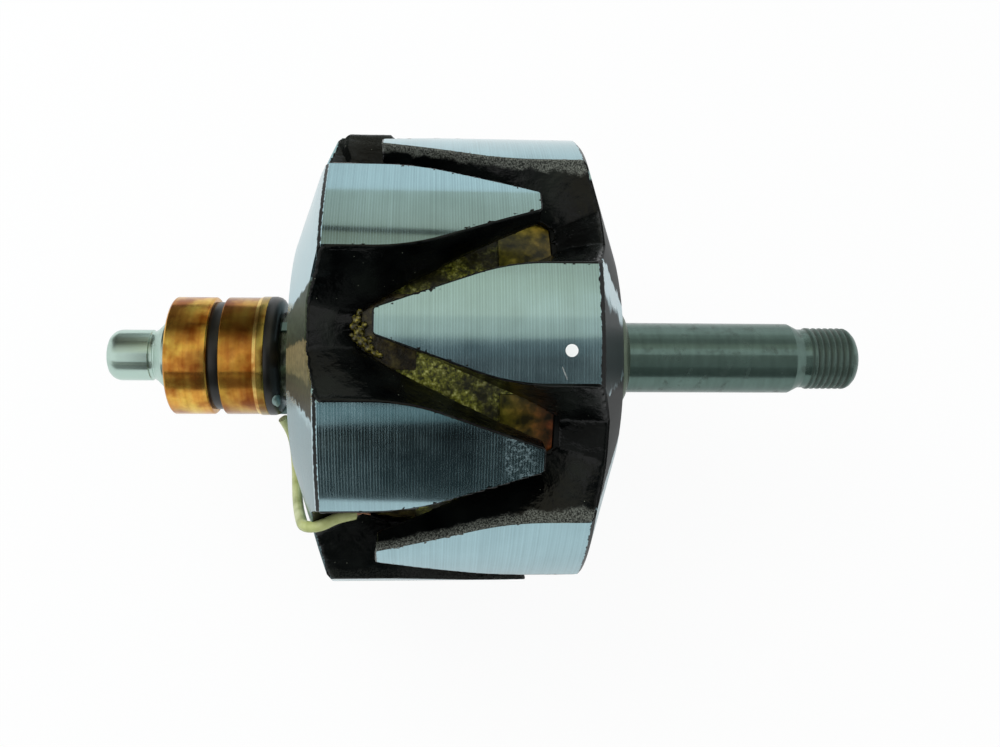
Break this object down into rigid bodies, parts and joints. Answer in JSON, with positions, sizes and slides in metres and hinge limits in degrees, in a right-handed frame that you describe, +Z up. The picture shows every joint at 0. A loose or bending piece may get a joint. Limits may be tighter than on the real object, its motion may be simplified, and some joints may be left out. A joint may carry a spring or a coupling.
{
  "type": "alternator rotor",
  "caption": "Claw-pole alternator rotor: two interleaved pole wheels over a field coil on a steel shaft, with slip rings at one end and a threaded drive end.",
  "frame": {"origin": "on the shaft's axis, half way between the two pole wheels", "axes": "+X along the shaft towards the drive end, +Z up with the rotor lying on its claws, +Y away from the viewer"},
  "size_m": [0.1789, 0.1038, 0.1038],
  "materials": {
    "shaft_steel": "satin",
    "collar_steel": "satin",
    "pole_steel": "satin",
    "bobbin_plastic": "matte",
    "winding_copper": "satin",
    "glass_tape": "satin",
    "end_insulation": "matte",
    "ring_copper": "satin",
    "ring_moulding": "satin",
    "terminal_metal": "satin",
    "lead_sleeve": "gloss",
    "lead_copper": "satin"
  },
  "bodies": {
    "root": {"shaft": "shaft_steel", "drive_end_collar": "collar_steel", "pole_core": "pole_steel", "claw_wheel_drive_end": "pole_steel", "claw_wheel_slip_end": "pole_steel", "coil_bobbin": "bobbin_plastic", "field_winding": "winding_copper", "coil_tape": "glass_tape", "end_insulation_drive_end": "end_insulation", "end_insulation_slip_end": "end_insulation", "slip_ring_outer": "ring_copper", "slip_ring_inner": "ring_copper", "slip_ring_hub": "ring_moulding", "terminal_lug_lower": "terminal_metal", "terminal_bar_upper": "terminal_metal", "coil_lead_sleeve": "lead_sleeve", "coil_lead_strand": "lead_copper"}
  },
  "joints": []
}
